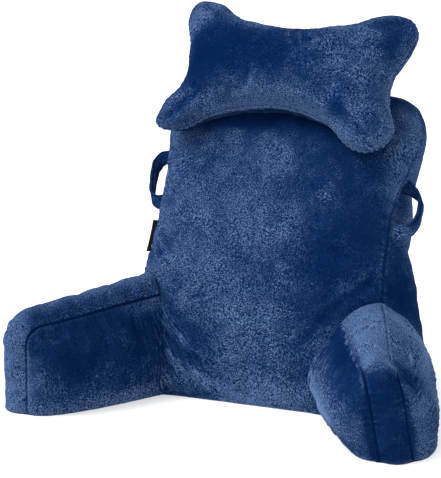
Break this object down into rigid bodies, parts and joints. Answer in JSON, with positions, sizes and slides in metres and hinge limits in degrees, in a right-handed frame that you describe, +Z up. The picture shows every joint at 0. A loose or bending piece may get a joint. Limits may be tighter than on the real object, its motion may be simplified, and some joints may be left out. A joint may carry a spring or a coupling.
{
  "type": "reading pillow",
  "caption": "Reclined reading pillow in navy velour: tall tapered backrest, two splayed arm rests with a top strip, butterfly neck pillow, side carry loops.",
  "frame": {"origin": "middle of the backrest's flat base, on the floor", "axes": "+X to the viewer's right across the backrest, +Y to the rear, +Z up; the arm rests run towards -Y"},
  "size_m": [0.7757, 0.5537, 0.6883],
  "materials": {
    "navy_velour": "short crushed nap",
    "black_woven": "matte"
  },
  "bodies": {
    "root": {"backrest": "navy_velour", "arm_left": "navy_velour", "arm_right": "navy_velour", "neck_pillow": "navy_velour", "loop_left": "navy_velour", "loop_right": "navy_velour", "side_tag": "black_woven"}
  },
  "joints": []
}
